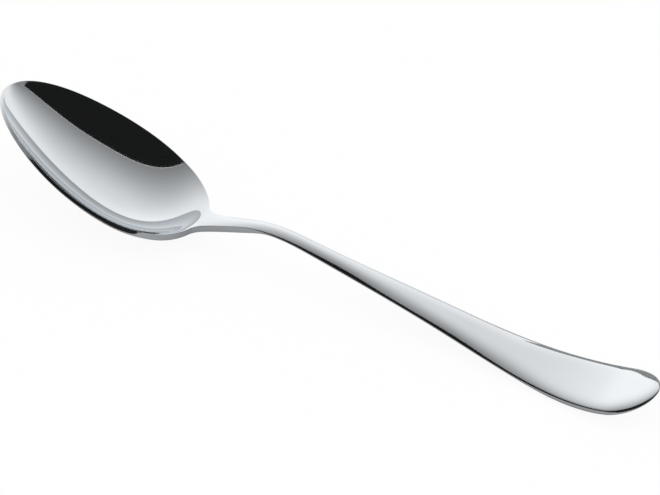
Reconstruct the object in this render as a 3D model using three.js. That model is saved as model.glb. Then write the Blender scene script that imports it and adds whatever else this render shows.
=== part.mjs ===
// A plain tablespoon in polished steel, pressed in one piece: egg-shaped bowl, arched neck, crowned handle.
// Millimetres. X runs from the bowl's tip to the handle's end, Y across, Z up from the table.
import * as THREE from 'three';
import { mergeVertices } from 'three/addons/utils/BufferGeometryUtils.js';

// Plan of the edge line, where the top surface ends and the rounded edge begins
const EDGE_LENGTH = 203.5;
const BOWL_LENGTH = 64.6;
const BOWL_WIDTH = 44.09;
const BOWL_SKEW = 0.127; // how much fuller the egg is towards the neck than towards the tip
const SHOULDER_SETBACK = 1.38; // from the start of the shoulder to where the egg would close
const SHOULDER_POWER = 1.3; // a larger power draws the shoulder into the neck sooner
const NECK_RUN = 18.4; // from where the egg would close to the middle of the neck
const NECK_WIDTH = 3.66;
const SHANK_FROM_END = 83.5;
const SHANK_WIDTH = 7.51;
const GRIP_FROM_END = 46.5;
const GRIP_WIDTH = 14.91;
const END_ROUND = 10.08; // length of the half-oval that closes the handle
const END_WIDTH = 22.37;

// Side view: height of the edge line, and its slope at both ends
const TIP_HEIGHT = 25.95;
const FRONT_RIM_HEIGHT = 18.09;
const BACK_RIM_HEIGHT = 10.97;
const ROOT_HEIGHT = 7.81;
const NECK_HEIGHT = 12.66;
const CREST_RUN = 17; // from the middle of the neck to the far side of its arch
const CREST_HEIGHT = 11.87;
const MIDDLE_FROM_END = 63.5;
const MIDDLE_HEIGHT = 6.1;
const LOW_FROM_END = 18.5;
const LOW_HEIGHT = 2.5;
const END_HEIGHT = 8.13;
const TIP_SLOPE = -0.318;
const END_SLOPE = 0.55;

// Hollow of the bowl below its edge line
const BOWL_DEPTH = 9.3;
const BOWL_FULLNESS = 2.37; // power of the hollow's wall: 2 is a paraboloid, more is a flatter floor
const TIP_WALL = -0.2; // below 0 the wall stays steep towards the tip
const BACK_WALL = 0.2; // above 0 it slackens towards the neck
const WALL_FLOOR = 0.04; // least share of the egg's width that these two work with
const LIP_SOFTNESS = 0.12; // rounding of the lip where the hollow runs out into the neck
const LIP_RUN = 14;

// Crown of the handle above its edge line, and how flat it is: a power of 2 is an even arch, and a larger
// one is a flatter top that rolls off close to the edges
const CROWN_SETBACK = 10; // the crown starts this far before the egg would close
const FLAT_FROM_END = 15.5; // where the handle is flattest
const ROLL_FROM_END = 4; // where the end's rim rolls down
const NECK_CROWN = 0.45;
const SHANK_CROWN = 0.9;
const GRIP_CROWN = 0.97;
const FLAT_CROWN = 0.4;
const ROLL_CROWN = 0.95;
const NECK_CROWN_POWER = 2;
const SHANK_CROWN_POWER = 2.4;
const GRIP_CROWN_POWER = 3.8;
const FLAT_CROWN_POWER = 8;
const ROLL_CROWN_POWER = 6;

// Belly of the underside: how much thicker the handle is on its middle line than at its edges
const NECK_BELLY = 1;
const SHANK_BELLY = 0.9;
const GRIP_BELLY = 0.7;
const FLAT_BELLY = 0.4;
const ROLL_BELLY = 0.2;

// Edge of the steel: its thickness, how far it reaches out past the edge line, and how far its top turns down
const RIM_SETBACK = 33; // the thin rim of the bowl ends this far before the egg would close
const ROOT_RUN = 9.4; // from where the egg would close to the thickest edge, which stands upright
const ARCH_RUN = 7; // from the middle of the neck to where the edge is thin again
const RIM_EDGE = 1.2;
const ROOT_EDGE = 2.2;
const ARCH_EDGE = 0.95;
const GRIP_EDGE = 0.95;
const FLAT_EDGE = 1.8;
const END_EDGE = 1.2;
const RIM_REACH = 0.45;
const ROOT_REACH = 0.25;
const ARCH_REACH = 0.9;
const GRIP_REACH = 0.85;
const FLAT_REACH = 0.85;
const END_REACH = 0.85;
const RIM_DROP = 0.5;
const ROOT_DROP = 0.25;
const ARCH_DROP = 0.4;
const GRIP_DROP = 0.35;
const FLAT_DROP = 0.6;
const END_DROP = 0.45;

// Number of facets along each stretch, across the sheet, and round each half of its edge
const BOWL_STEPS = 36;
const SHOULDER_STEPS = 14;
const HANDLE_STEPS = 38;
const END_STEPS = 12;
const ACROSS_STEPS = 18;
const ARC_STEPS = 3;

const shoulderX = BOWL_LENGTH - SHOULDER_SETBACK;
const neckX = BOWL_LENGTH + NECK_RUN;
const shankX = EDGE_LENGTH - SHANK_FROM_END;
const gripX = EDGE_LENGTH - GRIP_FROM_END;
const endX = EDGE_LENGTH - END_ROUND;

// Smooth step from 0 at the start to 1 at the end, with no bend at either
const ease = (x, start, end) => THREE.MathUtils.smootherstep(x, start, end);

// Central difference of a function of one number
function slopeOf(curve, x) {
  const step = 0.01;
  return (curve(x + step) - curve(x - step)) / (2 * step);
}

// Cubic curve through [x, value] points whose slope and bend are both continuous, with given end slopes
function spline(points, startSlope, endSlope) {
  const slopes = points.map(() => 0);
  slopes[0] = startSlope;
  slopes[points.length - 1] = endSlope;
  for (let pass = 0; pass < 80; pass += 1) {
    for (let i = 1; i < points.length - 1; i += 1) {
      const before = points[i][0] - points[i - 1][0];
      const after = points[i + 1][0] - points[i][0];
      const riseBefore = (points[i][1] - points[i - 1][1]) / before;
      const riseAfter = (points[i + 1][1] - points[i][1]) / after;
      const pull = (3 * riseBefore - slopes[i - 1]) / before + (3 * riseAfter - slopes[i + 1]) / after;
      slopes[i] = pull / (2 / before + 2 / after);
    }
  }
  return (x) => {
    const found = points.findIndex((point) => x < point[0]);
    const i = THREE.MathUtils.clamp(found < 0 ? points.length - 1 : found, 1, points.length - 1);
    const [x0, y0] = points[i - 1];
    const [x1, y1] = points[i];
    const run = x1 - x0;
    const t = (x - x0) / run;
    const start = y0 * (1 + 2 * t) + slopes[i - 1] * run * t;
    const end = y1 * (3 - 2 * t) + slopes[i] * run * (t - 1);
    return start * (1 - t) ** 2 + end * t ** 2;
  };
}

// Values along the spoon that change only by smooth steps between stations
function stepped(stations) {
  return (x) => {
    let value = stations[0][1];
    for (let i = 1; i < stations.length; i += 1) {
      value += (stations[i][1] - stations[i - 1][1]) * ease(x, stations[i - 1][0], stations[i][0]);
    }
    return value;
  };
}

// Square of an egg's half width along its length, as a multiple of its widest, and negative beyond its ends
const eggShape = (t) => 4 * t * (1 - t) * (1 - BOWL_SKEW * (1 - 2 * t)) ** 2;
const eggWidest = Math.max(...Array.from({ length: 2001 }, (_, i) => eggShape(i / 2000)));
const eggSquared = (x) => ((BOWL_WIDTH / 2) ** 2 * eggShape(x / BOWL_LENGTH)) / eggWidest;
const eggHalf = (x) => Math.sqrt(eggSquared(x));

// The shoulder leaves the egg at its own slope and dies away along the neck
const shoulderStep = eggHalf(shoulderX) - NECK_WIDTH / 2;
const shoulderReach = (-shoulderStep * SHOULDER_POWER) / slopeOf(eggHalf, shoulderX);
const shoulder = (x) => shoulderStep / (1 + (x - shoulderX) / shoulderReach) ** SHOULDER_POWER;

const handleHalf = spline(
  [[neckX, NECK_WIDTH / 2], [shankX, SHANK_WIDTH / 2], [gripX, GRIP_WIDTH / 2], [endX, END_WIDTH / 2]],
  0,
  0,
);

// Square of the edge line's distance from the middle line
function halfSquared(x) {
  if (x < shoulderX) {
    return eggSquared(x);
  }
  const along = Math.min(x, endX);
  const half = shoulder(along) + (along < neckX ? NECK_WIDTH / 2 : handleHalf(along));
  const past = Math.max(x - endX, 0) / END_ROUND;
  return half ** 2 * (1 - past ** 2);
}

const edgeHeight = spline(
  [
    [0, TIP_HEIGHT],
    [BOWL_LENGTH / 3, FRONT_RIM_HEIGHT],
    [(BOWL_LENGTH * 2) / 3, BACK_RIM_HEIGHT],
    [BOWL_LENGTH, ROOT_HEIGHT],
    [neckX, NECK_HEIGHT],
    [neckX + CREST_RUN, CREST_HEIGHT],
    [EDGE_LENGTH - MIDDLE_FROM_END, MIDDLE_HEIGHT],
    [EDGE_LENGTH - LOW_FROM_END, LOW_HEIGHT],
    [EDGE_LENGTH, END_HEIGHT],
  ],
  TIP_SLOPE,
  END_SLOPE,
);

const crownX = BOWL_LENGTH - CROWN_SETBACK;
const flatX = EDGE_LENGTH - FLAT_FROM_END;
const rollX = EDGE_LENGTH - ROLL_FROM_END;
const alongHandle = (values) =>
  stepped([crownX, neckX, shankX, gripX, flatX, rollX].map((x, i) => [x, values[i]]));
const crown = alongHandle([0, NECK_CROWN, SHANK_CROWN, GRIP_CROWN, FLAT_CROWN, ROLL_CROWN]);
const crownPower = alongHandle([
  NECK_CROWN_POWER,
  NECK_CROWN_POWER,
  SHANK_CROWN_POWER,
  GRIP_CROWN_POWER,
  FLAT_CROWN_POWER,
  ROLL_CROWN_POWER,
]);
const belly = alongHandle([0, NECK_BELLY, SHANK_BELLY, GRIP_BELLY, FLAT_BELLY, ROLL_BELLY]);

const rimX = BOWL_LENGTH - RIM_SETBACK;
const rootX = BOWL_LENGTH + ROOT_RUN;
const archX = neckX + ARCH_RUN;
const alongEdge = (values) =>
  stepped([rimX, rootX, archX, gripX, flatX, EDGE_LENGTH].map((x, i) => [x, values[i]]));
const edgeThickness = alongEdge([RIM_EDGE, ROOT_EDGE, ARCH_EDGE, GRIP_EDGE, FLAT_EDGE, END_EDGE]);
const edgeReach = alongEdge([RIM_REACH, ROOT_REACH, ARCH_REACH, GRIP_REACH, FLAT_REACH, END_REACH]);
const edgeDrop = alongEdge([RIM_DROP, ROOT_DROP, ARCH_DROP, GRIP_DROP, FLAT_DROP, END_DROP]);
const upright = alongEdge([0, 1, 0, 0, 0, 0]);

// Squared distance from the handle's middle line, 0 on it and 1 on the edge line; the bowl counts as edge
function outwardShare(x, y) {
  if (x < crownX) {
    return 1;
  }
  return Math.max(1 - (halfSquared(x) - y ** 2) / halfSquared(Math.min(x, endX)), 0);
}

// Depth of the bowl's hollow below the edge line; its lip is rounded where it meets the neck
function hollow(x, y) {
  const egg = eggSquared(x) / (BOWL_WIDTH / 2) ** 2;
  const kept = (egg + Math.hypot(egg, WALL_FLOOR)) / 2;
  const wall = TIP_WALL + (BACK_WALL - TIP_WALL) * ease(x, BOWL_LENGTH * 0.25, BOWL_LENGTH * 0.85);
  const inside = (egg - (y / (BOWL_WIDTH / 2)) ** 2) * kept ** wall;
  const lip = ease(x, BOWL_LENGTH - LIP_RUN, BOWL_LENGTH);
  const level = inside + (lip * (Math.hypot(inside, LIP_SOFTNESS) - inside)) / 2;
  return BOWL_DEPTH * (1 - Math.max(1 - level, 0) ** (BOWL_FULLNESS / 2));
}

const baseHeight = (x, y) => edgeHeight(x) - hollow(x, y);
const crownHeight = (x, y) => crown(x) * (1 - outwardShare(x, y) ** (crownPower(x) / 2));
const topHeight = (x, y) => baseHeight(x, y) + crownHeight(x, y);

// Upward direction square to a height field
function normalOf(height, x, y) {
  const slopeX = slopeOf((value) => height(value, y), x);
  const slopeY = slopeOf((value) => height(x, value), y);
  return new THREE.Vector3(-slopeX, -slopeY, 1).normalize();
}

// A point of the sheet: its top, and the underside square below the sheet without its crown
function sheetPoint(x, y) {
  const top = new THREE.Vector3(x, y, topHeight(x, y));
  const square = normalOf(baseHeight, x, y).multiplyScalar(1 - upright(x));
  square.z += upright(x);
  square.normalize();
  const bell = Math.max(1 - outwardShare(x, y), 0) ** 2;
  const under = new THREE.Vector3(x, y, baseHeight(x, y));
  under.addScaledVector(square, -edgeThickness(x) - belly(x) * bell);
  return { top, under, square, normal: normalOf(topHeight, x, y) };
}

// Stations along X: closest together at the tip, in the shoulder and round the handle's end
function stationList() {
  const share = (count, place) => Array.from({ length: count }, (_, i) => place(i / count));
  const closing = 1 - Math.cos(Math.PI * 0.93);
  return [
    ...share(BOWL_STEPS, (t) => (shoulderX * (1 - Math.cos(Math.PI * 0.93 * t))) / closing),
    ...share(SHOULDER_STEPS, (t) => shoulderX + (neckX - shoulderX) * t ** 2),
    ...share(HANDLE_STEPS, (t) => neckX + (endX - neckX) * t),
    ...share(END_STEPS, (t) => endX + END_ROUND * Math.sin((Math.PI / 2) * t)),
    EDGE_LENGTH,
  ];
}

// Triangles of a grid of points; where corners meet in one point the empty triangle is left out
function addGrid(triangles, rows) {
  const addTriangle = (a, b, c) => {
    if (!a.equals(b) && !b.equals(c) && !c.equals(a)) {
      triangles.push(a, b, c);
    }
  };
  for (let i = 1; i < rows.length; i += 1) {
    for (let j = 1; j < rows[i].length; j += 1) {
      addTriangle(rows[i - 1][j - 1], rows[i][j - 1], rows[i][j]);
      addTriangle(rows[i - 1][j - 1], rows[i][j], rows[i - 1][j]);
    }
  }
}

// Two arcs across the edge at each point of its closed loop: the top turns down to the edge's side, and the
// side turns in to the underside
function edgeRows(loop) {
  return loop.map((point, i) => {
    const { top, under, square, normal } = point;
    const along = loop[(i + 1) % loop.length].top.clone().sub(loop.at(i - 1).top);
    const slant = along.clone().cross(normal).normalize();
    const level = along.clone().cross(square).normalize();
    const corner = top.clone().addScaledVector(slant, edgeReach(top.x));
    const side = corner.clone().addScaledVector(square, -edgeDrop(top.x));
    const heel = under.clone().addScaledVector(level, corner.clone().sub(top).dot(level));
    const upper = new THREE.QuadraticBezierCurve3(top, corner, side).getPoints(ARC_STEPS);
    const lower = new THREE.QuadraticBezierCurve3(side, heel, under).getPoints(ARC_STEPS);
    return [top, ...upper.slice(1), ...lower.slice(1, -1), under];
  });
}

function spoonGeometry() {
  const rows = stationList().map((x) => {
    const half = x > 0 && x < EDGE_LENGTH ? Math.sqrt(halfSquared(x)) : 0;
    const row = [];
    for (let j = 0; j <= ACROSS_STEPS; j += 1) {
      row.push(sheetPoint(x, half * ((2 * j) / ACROSS_STEPS - 1)));
    }
    return row;
  });
  const right = rows.map((row) => row[0]);
  const left = rows.slice(1, -1).map((row) => row[ACROSS_STEPS]);
  const edge = edgeRows([...right, ...left.reverse()]);
  const triangles = [];
  addGrid(triangles, rows.map((row) => row.map((point) => point.top)));
  addGrid(triangles, rows.map((row) => row.map((point) => point.under).reverse()));
  addGrid(triangles, [...edge, edge[0]].map((row) => row.slice().reverse()));
  return mergeVertices(new THREE.BufferGeometry().setFromPoints(triangles));
}

// The lowest point stands on the table, and the origin is under the middle of the spoon
function onTable(geometry) {
  geometry.computeBoundingBox();
  const middle = geometry.boundingBox.getCenter(new THREE.Vector3());
  geometry.translate(-middle.x, -middle.y, -geometry.boundingBox.min.z);
  geometry.computeVertexNormals();
  return geometry;
}

const polishedSteel = new THREE.MeshStandardMaterial({ color: 0xd3d5d7, roughness: 0.08, metalness: 1 });

const spoon = new THREE.Mesh(onTable(spoonGeometry()), polishedSteel);
spoon.name = 'spoon';

const tablespoon = new THREE.Group();
tablespoon.add(spoon);

export default tablespoon;
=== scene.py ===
"""Looks of a plain steel tablespoon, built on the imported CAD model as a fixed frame.

The spoon is one sheet of polished steel. Its top is a height over the plan, its underside lies square below
it, and two arcs close the edge between them. Sizes are in millimetres until a mesh is made, with X from the
bowl's tip to the handle's end, Y across and Z up, and then in metres in the CAD frame.
"""
import logging
import math
from collections.abc import Callable
from dataclasses import dataclass, field
from enum import Enum
from typing import Any

import bpy
import numpy as np
from mathutils import Matrix, Vector


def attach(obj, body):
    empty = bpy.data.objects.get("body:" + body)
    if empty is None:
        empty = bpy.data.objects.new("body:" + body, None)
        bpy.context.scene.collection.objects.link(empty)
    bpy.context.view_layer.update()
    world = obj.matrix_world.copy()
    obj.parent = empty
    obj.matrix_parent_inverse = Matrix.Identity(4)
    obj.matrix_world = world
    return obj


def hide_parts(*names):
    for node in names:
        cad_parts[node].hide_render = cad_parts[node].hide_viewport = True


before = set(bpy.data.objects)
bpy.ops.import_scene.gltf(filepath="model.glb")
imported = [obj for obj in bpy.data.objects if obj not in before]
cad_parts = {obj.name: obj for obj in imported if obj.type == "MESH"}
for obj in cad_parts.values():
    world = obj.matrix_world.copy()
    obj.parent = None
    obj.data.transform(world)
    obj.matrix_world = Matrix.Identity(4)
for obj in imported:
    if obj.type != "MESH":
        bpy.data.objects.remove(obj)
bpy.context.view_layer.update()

Array = np.ndarray
Pair = tuple[float, float]
Triple = tuple[float, float, float]
Values = tuple[float, ...]
Line = tuple[Pair, ...]
Socket = bpy.types.NodeSocket

MM = 0.001
NUDGE = 0.01  # half the step of a central difference, in millimetres
TINY = 1e-9  # least divisor where a width closes
WHITE = (1.0, 1.0, 1.0, 1.0)

log = logging.getLogger("tablespoon")


class Body(Enum):
    """Bodies of the CAD model that a piece can ride on."""

    ROOT = "root"


class Slot(Enum):
    """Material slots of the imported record."""

    STEEL = "steel"


class SeenBy(Enum):
    """Which rays see a thing of the studio."""

    ALL = "all"
    REFLECTIONS = "reflections"


def eased(x: Array, start: float, end: float) -> Array:
    """Step from 0 at start to 1 at end, with no bend at either: 6t^5 - 15t^4 + 10t^3."""
    t = np.clip((x - start) / (end - start), 0.0, 1.0)
    return t**3 * (t * (6.0 * t - 15.0) + 10.0)


def stepped(x: Array, stations: Array, values: Array) -> Array:
    """Value along the spoon that changes only by eased steps between stations.

    Args:
        x: Places along the spoon.
        stations: Places where the values are reached.
        values: One value for each station.

    Returns:
        The first value plus each step's rise times its eased share.
    """
    shares = [eased(x, a, b) for a, b in zip(stations[:-1], stations[1:])]
    return values[0] + sum(rise * share for rise, share in zip(np.diff(values), shares))


def unit(vectors: Array) -> Array:
    """Vectors of the last axis, divided by their lengths."""
    return vectors / np.linalg.norm(vectors, axis=-1, keepdims=True)


def listed(grid: Array) -> Array:
    """Points of a grid in one list, row by row."""
    return grid.reshape(-1, 3)


@dataclass
class Spline:
    """Cubic curve through points, with continuous slope and bend and a given slope at each end.

    Attributes:
        places: Places along the spoon, rising.
        values: The curve's value at each place.
        first_slope: Slope at the first place.
        last_slope: Slope at the last place.
        slopes: Slope at each place, solved for.
    """

    places: Array
    values: Array
    first_slope: float
    last_slope: float
    slopes: Array = field(init=False)

    def __post_init__(self) -> None:
        """Solves for the slopes at which neighbouring cubics also share their bend."""
        run, rise = np.diff(self.places), np.diff(self.values) / np.diff(self.places)
        count = len(self.places)
        matrix = np.eye(count)
        inner = np.arange(1, count - 1)
        matrix[inner, inner - 1] = 1.0 / run[:-1]
        matrix[inner, inner] = 2.0 / run[:-1] + 2.0 / run[1:]
        matrix[inner, inner + 1] = 1.0 / run[1:]
        wanted = np.r_[self.first_slope, 3.0 * (rise[:-1] / run[:-1] + rise[1:] / run[1:]), self.last_slope]
        self.slopes = np.linalg.solve(matrix, wanted)

    def __call__(self, x: Array) -> Array:
        """Height of the curve: the Hermite cubic of the stretch that holds x.

        Args:
            x: Places along the spoon.

        Returns:
            The curve's value at each place.
        """
        i = np.clip(np.searchsorted(self.places, x, side="right"), 1, len(self.places) - 1)
        run = self.places[i] - self.places[i - 1]
        t = (x - self.places[i - 1]) / run
        start = self.values[i - 1] * (1.0 + 2.0 * t) + self.slopes[i - 1] * run * t
        end = self.values[i] * (3.0 - 2.0 * t) + self.slopes[i] * run * (t - 1.0)
        return start * (1.0 - t) ** 2 + end * t**2


@dataclass(frozen=True)
class Grain:
    """A noise pattern on Object coordinates.

    Attributes:
        scale: Waves per metre.
        detail: Number of finer layers.
        rough: Strength of each finer layer.
        stretch: Factor along each axis; one well below 1 draws the pattern out into lines.
        turn: Turn about Z in radians.
    """

    scale: float
    detail: float
    rough: float = 0.5
    stretch: Triple = (1.0, 1.0, 1.0)
    turn: float = 0.0


class NodeGraph:
    """A node tree that is emptied and filled again, node by node."""

    def __init__(self, tree: bpy.types.NodeTree) -> None:
        """Takes over the tree of a material or world."""
        self.tree = tree
        tree.nodes.clear()

    def add(self, kind: str, inputs: dict[str | int, Any] | None = None, **settings: Any) -> bpy.types.Node:
        """Adds a node.

        Args:
            kind: The node's Blender type.
            inputs: Values or other nodes' outputs for its input sockets, by name or number.
            settings: Its properties.

        Returns:
            The new node.
        """
        node = self.tree.nodes.new(kind)
        for name, value in settings.items():
            setattr(node, name, value)
        for name, value in (inputs or {}).items():
            if isinstance(value, Socket):
                self.tree.links.new(value, node.inputs[name])
            else:
                node.inputs[name].default_value = value
        return node

    def noise(self, place: Socket, grain: Grain) -> Socket:
        """Adds a noise texture behind a mapping that stretches and turns it.

        Args:
            place: The coordinates' output.
            grain: The pattern.

        Returns:
            The noise's value output.
        """
        mapping = {"Vector": place, "Scale": grain.stretch, "Rotation": (0.0, 0.0, grain.turn)}
        mapped = self.add("ShaderNodeMapping", mapping).outputs[0]
        inputs = {"Vector": mapped, "Scale": grain.scale, "Detail": grain.detail, "Roughness": grain.rough}
        return self.add("ShaderNodeTexNoise", inputs).outputs[0]

    def ranged(self, value: Socket, source: Pair, target: Pair) -> Socket:
        """Adds a clamped map of an output from its own range to the one wanted, and gives its output."""
        inputs = {0: value, 1: source[0], 2: source[1], 3: target[0], 4: target[1]}
        return self.add("ShaderNodeMapRange", inputs).outputs[0]

    def maths(self, operation: str, first: Socket | float, second: Socket | float) -> Socket:
        """Adds a sum, by Blender's name for it, on two numbers or outputs, and gives its output."""
        return self.add("ShaderNodeMath", {0: first, 1: second}, operation=operation).outputs[0]

    def surface(self, shader: bpy.types.Node, kind: str = "ShaderNodeOutputMaterial") -> None:
        """Joins a shader to a new output node of the given type."""
        self.add(kind, {"Surface": shader.outputs[0]})


def new_material(name: str) -> tuple[bpy.types.Material, NodeGraph]:
    """Makes an empty node material.

    Args:
        name: Its name.

    Returns:
        The material and its graph.
    """
    material = bpy.data.materials.new(name)
    material.use_nodes = True
    return material, NodeGraph(material.node_tree)


@dataclass(frozen=True)
class PolishedSteel:
    """Mirror-polished stainless steel: fine polishing lines along the spoon, faint haze, and duller edges.

    Attributes:
        colour: Reflectance of the steel.
        haze_colour: Reflectance where the polish is hazier.
        smooth: Roughness of the clearest polish.
        hazy: Roughness of the haziest polish.
        worn: Roughness that wear adds along the edges.
        line_depth: Depth of the polishing lines in metres.
        line_grain: Pattern of the polishing lines along the spoon.
        cross_grain: Pattern of the lines that cross them.
        line_share: Share of the lines along the spoon; the crossing ones have the rest.
        haze_grain: Pattern of the haze.
        speck_grain: Pattern of the specks in the worn edges.
        clarity_range: Range of lines times haze over which the roughness goes from smooth to hazy.
        haze_range: Range of the haze over which the colour changes.
        speck_range: Range of the specks over which wear goes from none to full.
    """

    colour: Triple = (0.755, 0.785, 0.81)
    haze_colour: Triple = (0.735, 0.765, 0.79)
    smooth: float = 0.035
    hazy: float = 0.07
    worn: float = 0.1
    line_depth: float = 4e-7
    line_grain: Grain = Grain(3200.0, 3.0, stretch=(0.06, 1.0, 1.0))
    cross_grain: Grain = Grain(2600.0, 2.0, stretch=(1.0, 0.08, 1.0), turn=0.5)
    line_share: float = 0.6
    haze_grain: Grain = Grain(70.0, 3.0)
    speck_grain: Grain = Grain(2400.0, 2.0, rough=0.7)
    clarity_range: Pair = (0.12, 0.42)
    haze_range: Pair = (0.35, 0.7)
    speck_range: Pair = (0.42, 0.66)

    def material(self) -> bpy.types.Material:
        """Builds the steel.

        Returns:
            The material, which reads Object coordinates and the piece's wear attribute.
        """
        material, graph = new_material("polished_steel")
        place = graph.add("ShaderNodeTexCoord").outputs["Object"]
        grains = (self.line_grain, self.cross_grain, self.haze_grain, self.speck_grain)
        lines, cross, haze, specks = (graph.noise(place, grain) for grain in grains)
        wear = graph.add("ShaderNodeAttribute", attribute_name="wear").outputs["Fac"]
        lines = graph.maths("MULTIPLY", lines, self.line_share)
        polish = graph.maths("ADD", lines, graph.maths("MULTIPLY", cross, 1.0 - self.line_share))
        clarity = graph.maths("MULTIPLY", polish, haze)
        base_roughness = graph.ranged(clarity, self.clarity_range, (self.smooth, self.hazy))
        rubbed = graph.maths("MULTIPLY", wear, graph.ranged(specks, self.speck_range, (0.0, self.worn)))
        roughness = graph.maths("ADD", base_roughness, rubbed)
        share = graph.ranged(haze, self.haze_range, (0.0, 1.0))
        tones = {0: share, 6: (*self.colour, 1.0), 7: (*self.haze_colour, 1.0)}
        tone = graph.add("ShaderNodeMix", tones, data_type="RGBA").outputs[2]
        bump = graph.add("ShaderNodeBump", {"Height": polish, "Distance": self.line_depth, "Strength": 1.0})
        inputs = {"Base Color": tone, "Roughness": roughness, "Normal": bump.outputs[0], "Metallic": 1.0}
        graph.surface(graph.add("ShaderNodeBsdfPrincipled", inputs))
        return material


@dataclass(frozen=True)
class PalePaper:
    """White paper floor that also shows as white behind the spoon, and lets the eye through from below.

    Attributes:
        colour: Colour of the paper.
        lift: Share of plain white that the camera and the reflections see in it; the rest keeps the shadow.
        grain: Pattern of the paper's fibres.
        grain_depth: Depth of the fibres in metres.
        grain_strength: How much of that depth shows.
    """

    colour: Triple = (0.95, 0.95, 0.95)
    lift: float = 0.93
    grain: Grain = Grain(900.0, 3.0)
    grain_depth: float = 2e-5
    grain_strength: float = 0.3

    def material(self) -> bpy.types.Material:
        """Builds the paper.

        Returns:
            The material.
        """
        material, graph = new_material("pale_paper")
        place = graph.add("ShaderNodeTexCoord").outputs["Object"]
        fibres = {"Distance": self.grain_depth, "Strength": self.grain_strength}
        bump = graph.add("ShaderNodeBump", {"Height": graph.noise(place, self.grain), **fibres})
        paper = graph.add("ShaderNodeBsdfDiffuse", {"Color": (*self.colour, 1.0), "Normal": bump.outputs[0]})
        white = graph.add("ShaderNodeEmission", {"Color": WHITE, "Strength": 1.0})
        path = graph.add("ShaderNodeLightPath").outputs
        seen = graph.maths("ADD", path["Is Camera Ray"], path["Is Glossy Ray"])
        seen = graph.maths("MINIMUM", graph.maths("ADD", seen, path["Is Transmission Ray"]), 1.0)
        share = graph.maths("MULTIPLY", seen, self.lift)
        lifted = graph.add("ShaderNodeMixShader", {0: share, 1: paper.outputs[0], 2: white.outputs[0]})
        below = graph.add("ShaderNodeNewGeometry").outputs["Backfacing"]
        clear = graph.add("ShaderNodeBsdfTransparent")
        sides = {0: below, 1: lifted.outputs[0], 2: clear.outputs[0]}
        graph.surface(graph.add("ShaderNodeMixShader", sides))
        return material


@dataclass(frozen=True)
class CardCloth:
    """Matt cloth of a card that shades the steel's reflections.

    Attributes:
        name: Name of the material.
        grey: Its grey level.
    """

    name: str
    grey: float

    def material(self) -> bpy.types.Material:
        """Builds the cloth.

        Returns:
            The material.
        """
        material, graph = new_material(self.name)
        graph.surface(graph.add("ShaderNodeBsdfDiffuse", {"Color": (self.grey, self.grey, self.grey, 1.0)}))
        return material


@dataclass(frozen=True)
class LampCloth:
    """Lit cloth of the soft lamp: its brightness is the panel's own glow attribute."""

    def material(self) -> bpy.types.Material:
        """Builds the lit cloth.

        Returns:
            The material.
        """
        material, graph = new_material("lamp_cloth")
        glow = graph.add("ShaderNodeAttribute", attribute_name="glow").outputs["Fac"]
        graph.surface(graph.add("ShaderNodeEmission", {"Color": WHITE, "Strength": glow}))
        return material


Finish = PalePaper | CardCloth | LampCloth


def grid_faces(rows: int, columns: int) -> Array:
    """Four corner numbers for each quad of a grid whose points are counted row by row."""
    corner = np.arange((rows - 1) * columns).reshape(rows - 1, columns)[:, :-1].ravel()
    return np.stack([corner, corner + columns, corner + columns + 1, corner + 1], axis=1)


def quads_object(name: str, points: Array, faces: Array) -> bpy.types.Object:
    """Makes a mesh object of quads, leaving out quads' corners that fall on one point.

    Args:
        name: Name of the object and its mesh.
        points: Points in metres.
        faces: Four corners for each quad.

    Returns:
        The object, linked to the scene, with smooth faces.
    """
    mesh = bpy.data.meshes.new(name)
    mesh.vertices.add(len(points))
    mesh.vertices.foreach_set("co", np.ascontiguousarray(points, np.float32).ravel())
    fresh = faces != np.roll(faces, 1, axis=1)
    counts = fresh.sum(axis=1)
    whole = counts > 2
    corners, counts = faces[whole][fresh[whole]], counts[whole]
    mesh.loops.add(len(corners))
    mesh.loops.foreach_set("vertex_index", corners.astype(np.int32))
    mesh.polygons.add(len(counts))
    mesh.polygons.foreach_set("loop_start", (np.cumsum(counts) - counts).astype(np.int32))
    mesh.update(calc_edges=True)
    mesh.validate()
    mesh.polygons.foreach_set("use_smooth", np.ones(len(mesh.polygons), dtype=bool))
    made = bpy.data.objects.new(name, mesh)
    bpy.context.scene.collection.objects.link(made)
    return made


def add_values(piece: bpy.types.Object, name: str, values: Array) -> None:
    """Stores one number for each point of a mesh, as a named attribute."""
    attribute = piece.data.attributes.new(name, "FLOAT", "POINT")
    attribute.data.foreach_set("value", np.ascontiguousarray(values, np.float32))


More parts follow.
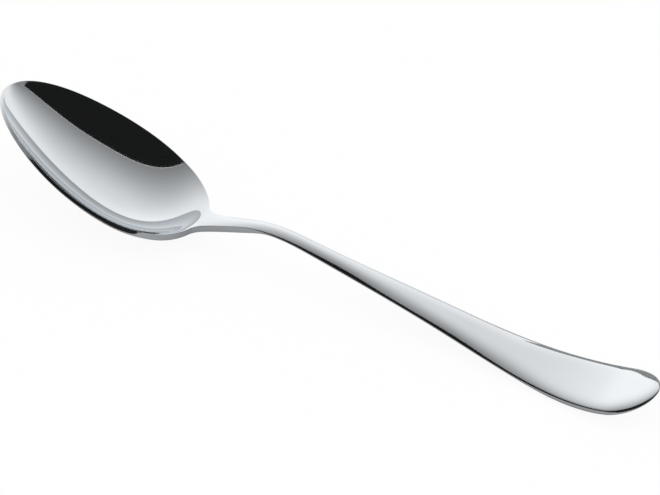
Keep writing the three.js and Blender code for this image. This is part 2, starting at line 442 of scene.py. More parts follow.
@dataclass
class EdgePlan:
    """Plan of the edge line, where the top surface ends and the rounded edge begins.

    Attributes:
        length: From the bowl's tip to the handle's end.
        bowl_length: Length of the egg that the bowl follows.
        bowl_width: The egg's greatest width.
        bowl_skew: How far that width lies towards the neck.
        shoulder_setback: From where the flare leaves the egg to where the egg would close.
        shoulder_power: How fast the flare dies away.
        neck_run: From where the egg would close to the middle of the neck.
        neck_width: Width there; this and the next widths leave out the flare.
        shank_from_end: From the slender shank to the end.
        shank_width: Width of the shank.
        grip_from_end: From the grip to the end.
        grip_width: Width of the grip.
        end_round: Length of the half oval that closes the end.
        end_width: Width where that oval begins.
        peak_samples: Number of places at which the egg's peak is sought.
        shoulder: Place where the flare leaves the egg.
        neck: Place of the middle of the neck.
        shank: Place of the shank.
        grip: Place of the grip.
        end: Place where the end's oval begins.
        handle: Half width of the handle as a function of x.
        egg_peak: Greatest value of the egg's shape.
        shoulder_step: The flare's height where it starts.
        shoulder_reach: Distance by which the flare's power is measured.
    """

    length: float = 203.25
    bowl_length: float = 64.6
    bowl_width: float = 44.09
    bowl_skew: float = 0.127
    shoulder_setback: float = 1.38
    shoulder_power: float = 1.3
    neck_run: float = 18.4
    neck_width: float = 3.66
    shank_from_end: float = 83.25
    shank_width: float = 7.51
    grip_from_end: float = 46.25
    grip_width: float = 14.91
    end_round: float = 9.83
    end_width: float = 22.37
    peak_samples: int = 2001
    shoulder: float = field(init=False)
    neck: float = field(init=False)
    shank: float = field(init=False)
    grip: float = field(init=False)
    end: float = field(init=False)
    handle: Spline = field(init=False)
    egg_peak: float = field(init=False)
    shoulder_step: float = field(init=False)
    shoulder_reach: float = field(init=False)

    def __post_init__(self) -> None:
        """Works out the egg's peak, the shoulder's reach and the handle's curve."""
        self.shoulder = self.bowl_length - self.shoulder_setback
        self.neck = self.bowl_length + self.neck_run
        self.shank = self.length - self.shank_from_end
        self.grip = self.length - self.grip_from_end
        self.end = self.length - self.end_round
        self.egg_peak = float(self.egg_shape(np.linspace(0.0, 1.0, self.peak_samples)).max())
        near = self.shoulder + NUDGE * np.array([-1.0, 0.0, 1.0])
        before, there, after = np.sqrt(self.egg_squared(near))
        slope = (after - before) / (2.0 * NUDGE)
        self.shoulder_step = there - self.neck_width / 2.0
        self.shoulder_reach = -self.shoulder_step * self.shoulder_power / slope
        widths = np.array([self.neck_width, self.shank_width, self.grip_width, self.end_width])
        self.handle = Spline(np.array([self.neck, self.shank, self.grip, self.end]), widths / 2.0, 0.0, 0.0)

    def egg_shape(self, t: Array) -> Array:
        """Square of the egg's half width at a share t of its length: 4t(1-t) times a square that skews it."""
        return 4.0 * t * (1.0 - t) * (1.0 - self.bowl_skew * (1.0 - 2.0 * t)) ** 2

    def egg_squared(self, x: Array) -> Array:
        """Square of the egg's half width in square millimetres, negative beyond its ends."""
        return (self.bowl_width / 2.0) ** 2 * self.egg_shape(x / self.bowl_length) / self.egg_peak

    def half_squared(self, x: Array) -> Array:
        """Square of the edge line's distance from the middle line.

        The egg runs to the shoulder. There a flare leaves it at its own slope and dies away along the neck as
        a power of the distance, on top of the handle's spline. Half an oval closes the end.

        Args:
            x: Places along the spoon.

        Returns:
            The squared half width at each place.
        """
        along = np.clip(x, self.shoulder, self.end)
        away = 1.0 + (along - self.shoulder) / self.shoulder_reach
        handle = self.handle(np.maximum(along, self.neck))
        half = self.shoulder_step / away**self.shoulder_power
        half += np.where(along < self.neck, self.neck_width / 2.0, handle)
        past = np.maximum(x - self.end, 0.0) / self.end_round
        return np.where(x < self.shoulder, self.egg_squared(x), half**2 * (1.0 - past**2))


@dataclass
class SideView:
    """Heights of the edge line along the spoon, and its slope at both ends.

    Attributes:
        tip: Height at the bowl's tip.
        front_rim: Height a third of the way along the bowl.
        back_rim: Height two thirds of the way along it.
        root: Height where the egg would close.
        neck: Height in the middle of the neck.
        crest_run: From there to the far side of the arch.
        crest: Height on that side.
        middle_from_end: From the middle of the handle to the end.
        middle: Height there.
        low_from_end: From the handle's low place to the end.
        low: Height there.
        end: Height at the end.
        tip_slope: Slope at the tip.
        end_slope: Slope at the end.
    """

    tip: float = 25.95
    front_rim: float = 18.09
    back_rim: float = 10.97
    root: float = 7.81
    neck: float = 12.66
    crest_run: float = 17.0
    crest: float = 11.87
    middle_from_end: float = 63.25
    middle: float = 6.1
    low_from_end: float = 18.25
    low: float = 2.5
    end: float = 8.06
    tip_slope: float = -0.318
    end_slope: float = 0.55

    def curve(self, plan: EdgePlan) -> Spline:
        """Spline through the heights.

        Args:
            plan: The plan that gives the places along the spoon.

        Returns:
            The height of the edge line as a function of x.
        """
        bowl, length = plan.bowl_length, plan.length
        places = [0.0, bowl / 3.0, bowl * 2.0 / 3.0, bowl, plan.neck, plan.neck + self.crest_run]
        places += [length - self.middle_from_end, length - self.low_from_end, length]
        heights = [self.tip, self.front_rim, self.back_rim, self.root, self.neck, self.crest]
        heights += [self.middle, self.low, self.end]
        return Spline(np.array(places), np.array(heights), self.tip_slope, self.end_slope)


@dataclass
class Section:
    """Hollow of the bowl, and crown and belly of the handle from the bowl's back to the end.

    The last three have a value each for the crown's start, the neck, the shank, the grip, the low place and
    the roll.

    Attributes:
        bowl_depth: Depth of the hollow below the edge line.
        bowl_fullness: Power of the hollow's section; a larger one has a flatter floor and steeper walls.
        tip_power: Power of the egg's own share towards the tip.
        back_power: The same power towards the neck.
        turn_shares: Shares of the bowl's length between which the one power turns into the other.
        egg_floor: How far above zero the egg's own share is kept.
        lip_softness: Roundness of the lip towards the neck.
        lip_run: Length of that lip.
        crown_setback: From where the crown starts to where the egg would close.
        low_from_end: From the flat low place to the end.
        roll_from_end: From the roll before the end to the end.
        crowns: Height of the crown in the middle.
        crown_powers: Power of the crown's section; a larger one is flatter.
        bellies: How far the underside bulges in the middle.
    """

    bowl_depth: float = 9.3
    bowl_fullness: float = 2.37
    tip_power: float = -0.2
    back_power: float = 0.2
    turn_shares: Pair = (0.25, 0.85)
    egg_floor: float = 0.04
    lip_softness: float = 0.12
    lip_run: float = 14.0
    crown_setback: float = 10.0
    low_from_end: float = 15.25
    roll_from_end: float = 3.75
    crowns: Values = (0.0, 0.45, 0.9, 0.97, 0.4, 0.95)
    crown_powers: Values = (2.0, 2.0, 2.4, 3.8, 8.0, 6.0)
    bellies: Values = (0.0, 1.0, 0.9, 0.7, 0.4, 0.2)


@dataclass
class Edge:
    """Edge of the sheet at the rim, the neck's root, its arch, the grip, the low place and the end.

    Attributes:
        rim_setback: From where the bowl's rim begins to change to where the egg would close.
        root_run: From there to the thick root of the neck.
        arch_run: From the middle of the neck to where the edge is thin again.
        thicknesses: Thickness of the edge.
        reaches: How far the upper arc goes out along the top's tangent.
        drops: How far it then turns down, square to the sheet.
        uprights: Share by which its side stands upright instead of square to the sheet.
        corners: How square its two arcs are: 1 is a parabola, and a larger weight keeps closer to the corner.
    """

    rim_setback: float = 33.0
    root_run: float = 9.4
    arch_run: float = 7.0
    thicknesses: Values = (1.2, 2.2, 0.95, 0.95, 1.8, 1.2)
    reaches: Values = (0.27, 0.25, 0.9, 0.85, 0.85, 0.65)
    drops: Values = (0.5, 0.25, 0.4, 0.35, 0.6, 0.45)
    uprights: Values = (0.0, 1.0, 0.0, 0.0, 0.0, 0.0)
    corners: Values = (3.0, 1.0, 1.0, 1.0, 1.0, 1.0)


@dataclass
class Spoon:
    """The whole spoon: bowl, neck and handle in one sheet of steel.

    Attributes:
        plan: Plan of the edge line.
        side: Side view of the edge line.
        section: Hollow, crown and belly.
        edge: Thickness and arcs of the edge.
        steel: The finish.
        bowl_rows: Rows of the grid along the bowl.
        shoulder_rows: Rows along the shoulder.
        handle_rows: Rows along the handle.
        end_rows: Rows round the handle's end.
        across: Quads across the sheet.
        round_arc: Quads round each of the edge's two arcs.
        row_turn: Share of a half turn that spaces the bowl's rows.
        wear_band: From where wear begins to where it is full, as distances outside the edge line.
        edge_height: Height of the edge line as a function of x.
        crown_start: Place where the crown starts.
        stations: Places that the crown and the belly step between.
        edge_stations: Places that the edge steps between.
    """

    plan: EdgePlan = field(default_factory=EdgePlan)
    side: SideView = field(default_factory=SideView)
    section: Section = field(default_factory=Section)
    edge: Edge = field(default_factory=Edge)
    steel: PolishedSteel = PolishedSteel()
    bowl_rows: int = 200
    shoulder_rows: int = 60
    handle_rows: int = 170
    end_rows: int = 60
    across: int = 56
    round_arc: int = 8
    row_turn: float = 0.93
    wear_band: Pair = (-2.0, 0.5)
    edge_height: Spline = field(init=False)
    crown_start: float = field(init=False)
    stations: Array = field(init=False)
    edge_stations: Array = field(init=False)

    def __post_init__(self) -> None:
        """Places the stations that the crown and the edge step between."""
        plan = self.plan
        self.edge_height = self.side.curve(plan)
        self.crown_start = plan.bowl_length - self.section.crown_setback
        low, roll = plan.length - self.section.low_from_end, plan.length - self.section.roll_from_end
        self.stations = np.array([self.crown_start, plan.neck, plan.shank, plan.grip, low, roll])
        rim, root = plan.bowl_length - self.edge.rim_setback, plan.bowl_length + self.edge.root_run
        arch = plan.neck + self.edge.arch_run
        self.edge_stations = np.array([rim, root, arch, plan.grip, low, plan.length])

    def along(self, x: Array, values: Values) -> Array:
        """Value of a size at places along the handle, eased between its stations."""
        return stepped(x, self.stations, np.array(values))

    def along_edge(self, x: Array, values: Values) -> Array:
        """Value of a size of the edge at places along the spoon, eased between the edge's stations."""
        return stepped(x, self.edge_stations, np.array(values))

    def outward(self, x: Array, y: Array) -> Array:
        """Squared distance from the handle's middle line: 0 on it, 1 on the edge line and all over the bowl.

        Args:
            x: Places along the spoon.
            y: Places across it.

        Returns:
            The squared distance as a share of the edge line's, at each place.
        """
        widest = self.plan.half_squared(np.minimum(x, self.plan.end))
        out = 1.0 - (self.plan.half_squared(x) - y**2) / np.maximum(widest, TINY)
        return np.where(x < self.crown_start, 1.0, np.maximum(out, 0.0))

    def hollow(self, x: Array, y: Array) -> Array:
        """Depth of the bowl below the edge line.

        The level is the squared distance inside the egg, as a share of the half width squared, times a power
        of the egg's own share, which keeps the walls steep towards the tip and softens them towards the neck.
        The depth is the full depth times 1 minus a power of what the level lacks. The lip towards the neck is
        rounded by a hyperbola that keeps the level above zero there.

        Args:
            x: Places along the spoon.
            y: Places across it.

        Returns:
            The depth at each place.
        """
        section, plan = self.section, self.plan
        egg = plan.egg_squared(x) / (plan.bowl_width / 2.0) ** 2
        kept = (egg + np.hypot(egg, section.egg_floor)) / 2.0
        turn = eased(x, *(share * plan.bowl_length for share in section.turn_shares))
        power = section.tip_power + (section.back_power - section.tip_power) * turn
        inside = (egg - (2.0 * y / plan.bowl_width) ** 2) * kept**power
        lip = eased(x, plan.bowl_length - section.lip_run, plan.bowl_length)
        level = inside + lip * (np.hypot(inside, section.lip_softness) - inside) / 2.0
        return section.bowl_depth * (1.0 - np.maximum(1.0 - level, 0.0) ** (section.bowl_fullness / 2.0))

    def base(self, x: Array, y: Array) -> Array:
        """Points of the sheet without its crown: the edge line's height, less the hollow."""
        return np.stack([x, y, self.edge_height(x) - self.hollow(x, y)], axis=-1)

    def top(self, x: Array, y: Array) -> Array:
        """Points of the top: the base raised by the crown times 1 minus a power of the distance outward.

        Args:
            x: Places along the spoon.
            y: Places across it.

        Returns:
            The points, with their three coordinates on the last axis.
        """
        share = 1.0 - self.outward(x, y) ** (self.along(x, self.section.crown_powers) / 2.0)
        points = self.base(x, y)
        points[..., 2] += self.along(x, self.section.crowns) * share
        return points

    def square(self, x: Array, y: Array) -> Array:
        """Unit directions square to the sheet: the base's normals, leant upright at the neck's root."""
        lean = self.along_edge(x, self.edge.uprights)[..., None]
        return unit(self.normals(self.base, x, y) * (1.0 - lean) + np.array([0.0, 0.0, 1.0]) * lean)

    def under(self, x: Array, y: Array) -> Array:
        """Points of the underside: the base moved down, square, by the edge's thickness and the belly's bell.

        Args:
            x: Places along the spoon.
            y: Places across it.

        Returns:
            The points, with their three coordinates on the last axis.
        """
        bell = np.maximum(1.0 - self.outward(x, y), 0.0) ** 2
        depth = self.along_edge(x, self.edge.thicknesses) + self.along(x, self.section.bellies) * bell
        return self.base(x, y) - self.square(x, y) * depth[..., None]

    @staticmethod
    def normals(surface: Callable[[Array, Array], Array], x: Array, y: Array) -> Array:
        """Upward unit normals of a surface: the cross product of its central differences along x and y.

        Args:
            surface: The surface as a function of x and y.
            x: Places along the spoon.
            y: Places across it.

        Returns:
            One normal for each place.
        """
        along = surface(x + NUDGE, y) - surface(x - NUDGE, y)
        across = surface(x, y + NUDGE) - surface(x, y - NUDGE)
        return unit(np.cross(along, across))

    def rows(self) -> Array:
        """Places of the grid's rows: closest at the tip, in the shoulder and round the end.

        Returns:
            The rows' x, rising from the tip to the end.
        """
        plan = self.plan
        turn = math.pi * self.row_turn
        bowl = 1.0 - np.cos(np.linspace(0.0, turn, self.bowl_rows, endpoint=False))
        shoulder = np.linspace(0.0, 1.0, self.shoulder_rows, endpoint=False) ** 2
        handle = np.linspace(plan.neck, plan.end, self.handle_rows, endpoint=False)
        end = np.sin(np.linspace(0.0, math.pi / 2.0, self.end_rows + 1))
        return np.r_[
            plan.shoulder * bowl / (1.0 - math.cos(turn)),
            plan.shoulder + (plan.neck - plan.shoulder) * shoulder,
            handle,
            plan.end + plan.end_round * end,
        ]

    def arcs(self, x: Array, tops: Array, normals: Array, square: Array) -> tuple[Array, Array]:
        """Two arcs along the closed edge loop, from the top's edge to the underside's.

        Each arc is a conic between three points: (1-t)^2 a + 2wt(1-t) b + t^2 c, over the same sum of its
        weights. The upper one leaves the top along its tangent and turns square to the sheet, and the lower
        one turns in to the underside.

        Args:
            x: Places of the loop's points along the spoon.
            tops: The loop's points on the top.
            normals: The top's normals there.
            square: The directions square to the sheet there.

        Returns:
            The arcs' points and normals, as one row for each point of the loop.
        """
        run = np.roll(tops, -1, axis=0) - np.roll(tops, 1, axis=0)
        level = unit(np.cross(run, square))
        sizes = (self.edge.thicknesses, self.edge.reaches, self.edge.drops, self.edge.corners)
        thickness, reach, drop, weight = (self.along_edge(x, values)[:, None] for values in sizes)
        corner = tops + unit(np.cross(run, normals)) * reach
        side = corner - square * drop
        unders = tops - square * thickness
        heel = unders + level * ((corner - tops) * level).sum(axis=1, keepdims=True)
        t, w = np.linspace(0.0, 1.0, self.round_arc + 1)[None, :, None], weight[:, None]
        points, facing = [], []
        for a, b, c in ((tops, corner, side), (side, heel, unders)):
            a, b, c = a[:, None], b[:, None], c[:, None]
            middle = 2.0 * w * t * (1.0 - t)
            points.append(((1.0 - t) ** 2 * a + middle * b + t**2 * c) / ((1.0 - t) ** 2 + middle + t**2))
            heading = w * (1.0 - t) ** 2 * (b - a) + t * (1.0 - t) * (c - a) + w * t**2 * (c - b)
            facing.append(unit(np.cross(heading, run[:, None])))
        return np.hstack([points[0], points[1][:, 1:]]), np.hstack([facing[0], facing[1][:, 1:]])

    def build(self) -> bpy.types.Object:
        """Builds the spoon's closed mesh with its exact normals.

        Returns:
            The spoon, in metres in the CAD frame.
        """
        x = self.rows()
        half = np.sqrt(np.maximum(self.plan.half_squared(x), 0.0))
        half[[0, -1]] = 0.0
        width = self.across + 1
        xs = np.repeat(x[:, None], width, axis=1)
        ys = half[:, None] * np.linspace(-1.0, 1.0, width)
        tops, unders, square = self.top(xs, ys), self.under(xs, ys), self.square(xs, ys)
        top_normals, under_normals = self.normals(self.top, xs, ys), -self.normals(self.under, xs, ys)
        near = np.arange(len(x)) * width
        loop = np.r_[near, near[-2:0:-1] + self.across]
        rim = (listed(grid)[loop] for grid in (tops, top_normals, square))
        edge, edge_normals = self.arcs(xs.ravel()[loop], *rim)

        sheet = xs.size
        ids = np.arange(sheet).reshape(xs.shape)
        ids[0], ids[-1] = ids[0, 0], ids[-1, 0]
        top_ids, under_ids = ids, ids + sheet
        inner = 2 * sheet + np.arange(len(loop) * (2 * self.round_arc - 1)).reshape(len(loop), -1)
        edge_ids = np.c_[top_ids.ravel()[loop], inner, under_ids.ravel()[loop]]
        edge_ids = np.r_[edge_ids, edge_ids[:1]]
        tables = (top_ids, under_ids[:, ::-1], edge_ids[:, ::-1])
        faces = np.concatenate([table.ravel()[grid_faces(*table.shape)] for table in tables])

        points = np.concatenate([listed(grid) for grid in (tops, unders, edge[:, 1:-1])])
        facing = (top_normals, under_normals, edge_normals[:, 1:-1])
        normals = np.concatenate([listed(grid) for grid in facing])
        wear = self.sheet_wear(xs, ys)
        wear = np.r_[wear, wear, np.ones(inner.size)]
        used, compact = np.unique(faces, return_inverse=True)
        piece = quads_object("tablespoon", self.on_table(points[used]) * MM, compact.reshape(faces.shape))
        piece.data.normals_split_custom_set_from_vertices(normals[used])
        add_values(piece, "wear", wear[used])
        return piece

    def sheet_wear(self, x: Array, y: Array) -> Array:
        """Share of wear on the sheet: it rises before the edge line and is nearly full on it."""
        half = np.sqrt(np.maximum(self.plan.half_squared(x), 0.0))
        return eased(np.abs(y) - half, *self.wear_band).ravel()

    @staticmethod
    def on_table(points: Array) -> Array:
        """Points moved so that the lowest is on the table and the origin is under the spoon's middle."""
        low, high = points.min(axis=0), points.max(axis=0)
        return points - np.r_[(low + high)[:2] / 2.0, low[2]]

    def dress(self, piece: bpy.types.Object) -> bpy.types.Object:
        """Gives the spoon its steel and puts it in the frame.

        Args:
            piece: The spoon's object.

        Returns:
            The same object.
        """
        piece.data.materials.append(self.steel.material())
        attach(piece, Body.ROOT.value)
        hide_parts("spoon")
        return piece


@dataclass
class Studio:
    """The floor, the lamp and the cards round the spoon. Sizes are in metres.

    The soft lamp is a panel overhead whose straight front edge passes over the spoon and whose back turns
    down to the floor. A black flag goes on from that edge towards the camera. Dim cloth goes on from the flag
    down to the floor and past its ends, with a narrow strip of it under the flag at the left, and a black
    curtain hangs before it behind the camera. A grey card lies under the spoon as painted shade: it stands in
    for the floor's shade as the steel reflects it. Dark cards stand behind the handle's end and past it. All
    but the floor are there for the reflections alone.

    Attributes:
        lamp_height: Height of the lamp above the table.
        edge_point: A point of the table under the lamp's front edge.
        edge_turn: Direction of that edge in degrees from +X.
        lamp_reach: How far the lamp goes back from its front edge before it turns down.
        half_length: Half the length of the lamp along the edge.
        lamp_rows: Rows of points behind the frame, and round the turn down.
        lamp_columns: Points along the lamp.
        flag_ends: Where along the edge the flag starts and stops.
        flag_reach: How far the flag goes out from the edge.
        curtain_start: Where along the edge the black curtain starts.
        curtain_stops: Where it stops, at its top and at its foot.
        cloth_reach: How far the cloth goes out from the edge before it turns down.
        cloth_radius: Radius of that turn.
        cloth_rows: Rows of points round it.
        nearer: Share of the cloth's distance at which the curtain and the narrow strip hang.
        narrow_stop: Where along the edge the narrow strip of cloth stops.
        narrow_width: Width of that strip.
        front_glow: Brightness of the lamp just behind its front edge, and of the dim cloth.
        foot_glow: Brightness of the front cloth at its foot.
        glow_rise: How much brighter the lamp is far back.
        glow_run: Distance over which it grows brighter.
        glow_power: Power of the distance in that growth.
        side_place: Where along the edge it is brightest.
        side_gain: Factor of its brightness there.
        side_run: Distance along the edge over which it falls off.
        side_fall: How much lower the factor is far to the sides.
        frame_width: Width of the bright frame along the front edge.
        frame_rows: Rows of points on the frame and just behind it, as shares of its width.
        frame_glow: Brightness of that frame.
        first_row: Distance from the front edge to the first row of the panel proper.
        floor_half: Half the length of the square floor.
        floor_height: Height of the floor, just clear of the spoon.
        paper: Finish of the floor.
        lamp: Finish of the lamp and the dim cloth.
        felt: Finish of the flag, the curtain and the card past the handle's end.
        card: Finish of the card under the spoon, a grey that paints the floor's shade into the reflections.
        card_edge: Points of that card's left edge; it lies on the camera's side and behind the handle's end.
        card_right: Place of its straight right edge.
        card_height: Height of the card, between the spoon and the floor.
        strip: Finish of the low card behind the handle's end.
        strip_line: Points of the table under that card.
        strip_heights: Its heights there.
        shade_line: Points of the table under the felt card past the handle's end.
        shade_heights: Its heights there.
        materials: Materials made so far, by finish.
    """

    lamp_height: float = 0.6
    edge_point: Pair = (0.0312, -0.0463)
    edge_turn: float = 32.5
    lamp_reach: float = 1.6
    half_length: float = 5.0
    lamp_rows: tuple[int, int] = (100, 24)
    lamp_columns: int = 161
    flag_ends: Pair = (-0.9, 0.84)
    flag_reach: float = 0.9
    curtain_start: float = -0.75
    curtain_stops: Pair = (0.5, 0.42)
    cloth_reach: float = 1.6
    cloth_radius: float = 0.3
    cloth_rows: int = 12
    nearer: float = 0.99
    narrow_stop: float = -0.55
    narrow_width: float = 0.16
    front_glow: float = 0.275
    foot_glow: float = 0.5
    glow_rise: float = 0.84
    glow_run: float = 0.62
    glow_power: float = 1.25
    side_place: float = 0.18
    side_gain: float = 1.05
    side_run: float = 0.5
    side_fall: float = 0.15
    frame_width: float = 0.003
    frame_rows: Values = (0.0, 0.98, 1.02)
    frame_glow: float = 0.95
    first_row: float = 0.015
    floor_half: float = 4.0
    floor_height: float = -0.0004
    paper: PalePaper = PalePaper()
    lamp: LampCloth = LampCloth()
    felt: CardCloth = CardCloth("black_felt", 0.013)
    # Painted shade: a grey card stands in for the shaded floor that the steel reflects near the spoon.
    card: CardCloth = CardCloth("floor_shade_card", 0.42)
    card_edge: Line = ((-0.8, -0.8), (-0.8, 0.025), (0.0507, 0.0251), (-0.511, 0.8))
    card_right: float = 0.8
    card_height: float = -0.0002
    strip: CardCloth = CardCloth("dark_card", 0.3)
    strip_line: Line = ((0.05, 0.1), (0.15, 0.1))
    strip_heights: Values = (0.034, 0.03)
    shade_line: Line = ((0.15, -0.06), (0.15, 0.1))
    shade_heights: Values = (0.08, 0.03)
    materials: dict[Finish, bpy.types.Material] = field(init=False, default_factory=dict)

    def place(
        self, name: str, surface: Array, finish: Finish, seen: SeenBy = SeenBy.REFLECTIONS
    ) -> bpy.types.Object:
        """Makes a stage object of a grid of points.

        Args:
            name: Its name.
            surface: The grid's points, in rows.
            finish: Its finish.
            seen: Which rays see it.

        Returns:
            The object.
        """
        made = quads_object(name, listed(surface), grid_faces(*surface.shape[:2]))
        if finish not in self.materials:
            self.materials[finish] = finish.material()
        made.data.materials.append(self.materials[finish])
        if seen is SeenBy.REFLECTIONS:
            made.visible_camera = False
            made.visible_diffuse = False
            made.visible_transmission = False
            made.visible_volume_scatter = False
            made.visible_shadow = False
        return made

    def swept(self, out: Array, heights: Array, along: Array) -> Array:
        """Surface of a profile carried along the lamp's front edge.

        A point is the edge's point, plus a distance along the edge, plus the profile's distance square to it.

        Args:
            out: The profile's distances from the edge, positive away from the camera.
            heights: The profile's heights.
            along: Places along the edge, the same for the whole profile or in a row for each of its points.

        Returns:
            The grid's points.
        """
        turn = math.radians(self.edge_turn)
        xs = self.edge_point[0] + along * math.cos(turn) - out[:, None] * math.sin(turn)
        ys = self.edge_point[1] + along * math.sin(turn) + out[:, None] * math.cos(turn)
        return np.stack([xs, ys, np.broadcast_to(heights[:, None], xs.shape)], axis=-1)

    def glow(self, back: Array, along: Array) -> Array:
        """Brightness of the lamp by distance behind its front edge and along it.

        Behind a narrow bright frame it starts low and rises towards full as 1 minus an exponential of a power
        of the distance. Along the edge it falls off from one place as 1 minus a bell curve.

        Args:
            back: Distances behind the front edge.
            along: Distances along it.

        Returns:
            The brightness at each place.
        """
        grown = 1.0 - np.exp(-((back / self.glow_run) ** self.glow_power))
        bell = np.exp(-(((along - self.side_place) / self.side_run) ** 2))
        sideways = self.side_gain - self.side_fall * (1.0 - bell)
        panel = (self.front_glow + self.glow_rise * grown) * sideways
        return np.where(back < self.frame_width, self.frame_glow, panel)

    def build_lamp(self) -> bpy.types.Object:
        """Builds the soft lamp overhead, with its glow in each point.

        Returns:
            The lamp.
        """
        flat_rows, turn_rows = self.lamp_rows
        turn = np.linspace(0.0, math.pi / 2.0, turn_rows)[1:]
        frame_rows = self.frame_width * np.array(self.frame_rows)
        flat = np.r_[frame_rows, np.linspace(self.first_row, self.lamp_reach, flat_rows)]
        back = np.r_[flat, self.lamp_reach + self.lamp_height * np.sin(turn)]
        heights = np.r_[np.full(len(flat), self.lamp_height), self.lamp_height * np.cos(turn)]
        along = np.linspace(-self.half_length, self.half_length, self.lamp_columns)
        made = self.place("soft_lamp", self.swept(back, heights, along), self.lamp)
        add_values(made, "glow", self.glow(back[:, None], along[None]).ravel())
        return made

    def build_flag(self) -> list[bpy.types.Object]:
        """Builds the black flag, the dim cloth round it and the black curtain.

        The flag lies level with the lamp. The cloth goes on from it and past its ends, round a quarter turn,
        and down to the floor, and so does the curtain.

        Returns:
            The flag, the curtain and the pieces of cloth.
        """
        turn = np.linspace(0.0, math.pi / 2.0, self.cloth_rows)
        reach, radius = self.cloth_reach, self.cloth_radius
        out = np.r_[0.0, self.flag_reach, reach + radius * np.sin(turn), reach + radius]
        heights = np.r_[0.0, 0.0, radius * (np.cos(turn) - 1.0), -self.lamp_height] + self.lamp_height
        ends = np.array(self.flag_ends)
        narrow = np.array([0.0, self.narrow_width])
        stops = np.linspace(*self.curtain_stops, len(out) - 1)
        sides = np.stack([np.full_like(stops, self.curtain_start), stops], axis=-1)
        black = {
            "black_flag": self.swept(-out[:2], heights[:2], ends),
            "black_curtain": self.swept(-self.nearer * out[1:], self.nearer * heights[1:], sides),
        }
        left, right = np.array([-self.half_length, ends[0]]), np.array([ends[1], self.half_length])
        under = np.array([ends[0], self.narrow_stop])
        dim = {
            "front_cloth": self.swept(-out[1:], heights[1:], ends),
            "left_cloth": self.swept(-out, heights, left),
            "right_cloth": self.swept(-out, heights, right),
            "narrow_cloth": self.swept(-narrow, self.nearer * heights[:2], under),
        }
        made = [self.place(name, surface, self.felt) for name, surface in black.items()]
        for name, surface in dim.items():
            cloth = self.place(name, surface, self.lamp)
            foot = self.foot_glow if name == "front_cloth" else self.front_glow
            rows, columns = surface.shape[:2]
            add_values(cloth, "glow", np.repeat(np.linspace(self.front_glow, foot, rows), columns))
            made.append(cloth)
        return made

    @staticmethod
    def lying(left: Array, right: float, ys: Array, height: float) -> Array:
        """Flat surface that faces up, ruled from a left edge that may bend to a straight right edge.

        Args:
            left: The left edge's x.
            right: The right edge's x.
            ys: The y of each point of the left edge.
            height: Height of the surface.

        Returns:
            The grid's points.
        """
        xs = left[:, None] + (right - left[:, None]) * np.array([0.0, 0.5, 1.0])
        grid = np.stack([xs, np.broadcast_to(ys[:, None], xs.shape), np.full_like(xs, height)], axis=-1)
        return grid[::-1]

    def build_floor(self) -> list[bpy.types.Object]:
        """Builds the paper floor, and the grey card that only reflections see lying on it, as painted floor
        shade.

        Returns:
            The floor and the card.
        """
        half = self.floor_half
        floor = self.lying(np.array([-half, -half]), half, np.array([-half, half]), self.floor_height)
        left, ys = (np.array(values) for values in zip(*self.card_edge))
        card = self.lying(left, self.card_right, ys, self.card_height)
        return [self.place("floor", floor, self.paper, SeenBy.ALL), self.place("floor_shade_card", card, self.card)]

    @staticmethod
    def standing(line: Line, heights: Values) -> Array:
        """Upright surface over points of the table, with a height at each of them."""
        return np.stack([np.c_[line, np.zeros(len(line))], np.c_[line, heights]])

    def build_cards(self) -> list[bpy.types.Object]:
        """Builds the dark cards that only reflections see standing behind the handle's end and past it.

        Returns:
            The two cards.
        """
        strip = self.standing(self.strip_line, self.strip_heights)
        shade = self.standing(self.shade_line, self.shade_heights)
        return [self.place("dark_card", strip, self.strip), self.place("felt_card", shade, self.felt)]

    def light_world(self) -> None:
        """Makes the world plain white at a strength of 1, which lights everything and is the background."""
        world = bpy.data.worlds.new("plain_white")
        world.use_nodes = True
        bpy.context.scene.world = world
        graph = NodeGraph(world.node_tree)
        sky = graph.add("ShaderNodeBackground", {"Color": WHITE, "Strength": 1.0})
        graph.surface(sky, "ShaderNodeOutputWorld")

    def build(self) -> list[bpy.types.Object]:
        """Builds everything of the studio.

        Returns:
            Its objects.
        """
        made = [*self.build_floor(), self.build_lamp(), *self.build_flag(), *self.build_cards()]
        self.light_world()
        return made


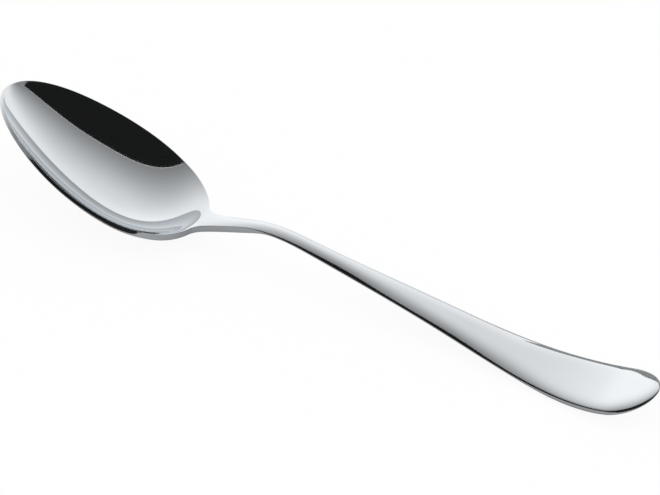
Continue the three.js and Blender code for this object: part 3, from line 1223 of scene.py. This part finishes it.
@dataclass
class Viewpoint:
    """The camera, at the photograph's angle.

    Attributes:
        azimuth: Turn round the spoon in degrees; 0 looks along +Y.
        elevation: Angle above the table in degrees.
        roll: Turn of the picture in degrees.
        distance: Distance from the target in metres.
        target: The point in the middle of the picture.
        lens: Focal length in millimetres.
        sensor: Width of the sensor in millimetres.
        clip: Nearest and farthest distance that it sees, in metres.
    """

    azimuth: float = 17.536
    elevation: float = 34.312
    roll: float = 10.823
    distance: float = 0.995457
    target: Triple = (0.001727, 0.000983, 0.013117)
    lens: float = 193.388
    sensor: float = 36.0
    clip: Pair = (0.01, 20.0)

    def axes(self) -> tuple[Vector, Vector, Vector]:
        """Axes of the camera: right and up in the picture, and back towards the camera.

        Returns:
            The three unit vectors.
        """
        a, e, r = (math.radians(angle) for angle in (self.azimuth, self.elevation, self.roll))
        right = Vector((math.cos(a), math.sin(a), 0.0))
        up = Vector((-math.sin(a) * math.sin(e), math.cos(a) * math.sin(e), math.cos(e)))
        back = Vector((math.sin(a) * math.cos(e), -math.cos(a) * math.cos(e), math.sin(e)))
        return right * math.cos(r) + up * math.sin(r), up * math.cos(r) - right * math.sin(r), back

    def build(self) -> None:
        """Makes the camera and takes it into use."""
        right, up, back = self.axes()
        data = bpy.data.cameras.new("viewpoint")
        data.lens = self.lens
        data.sensor_width = self.sensor
        data.clip_start, data.clip_end = self.clip
        camera = bpy.data.objects.new("viewpoint", data)
        turn = Matrix((right, up, back)).transposed().to_4x4()
        camera.matrix_world = Matrix.Translation(Vector(self.target) + back * self.distance) @ turn
        bpy.context.scene.collection.objects.link(camera)
        bpy.context.scene.camera = camera


def main() -> None:
    """Builds the spoon, the studio and the camera in that order, and reports each piece."""
    logging.basicConfig(level=logging.INFO, format="%(name)s: %(message)s")
    bpy.context.scene.view_settings.view_transform = "Standard"
    spoon = Spoon()
    for piece in (spoon.dress(spoon.build()), *Studio().build()):
        log.info("%s: %d points, %d faces", piece.name, len(piece.data.vertices), len(piece.data.polygons))
    Viewpoint().build()


if __name__ == "__main__":
    main()
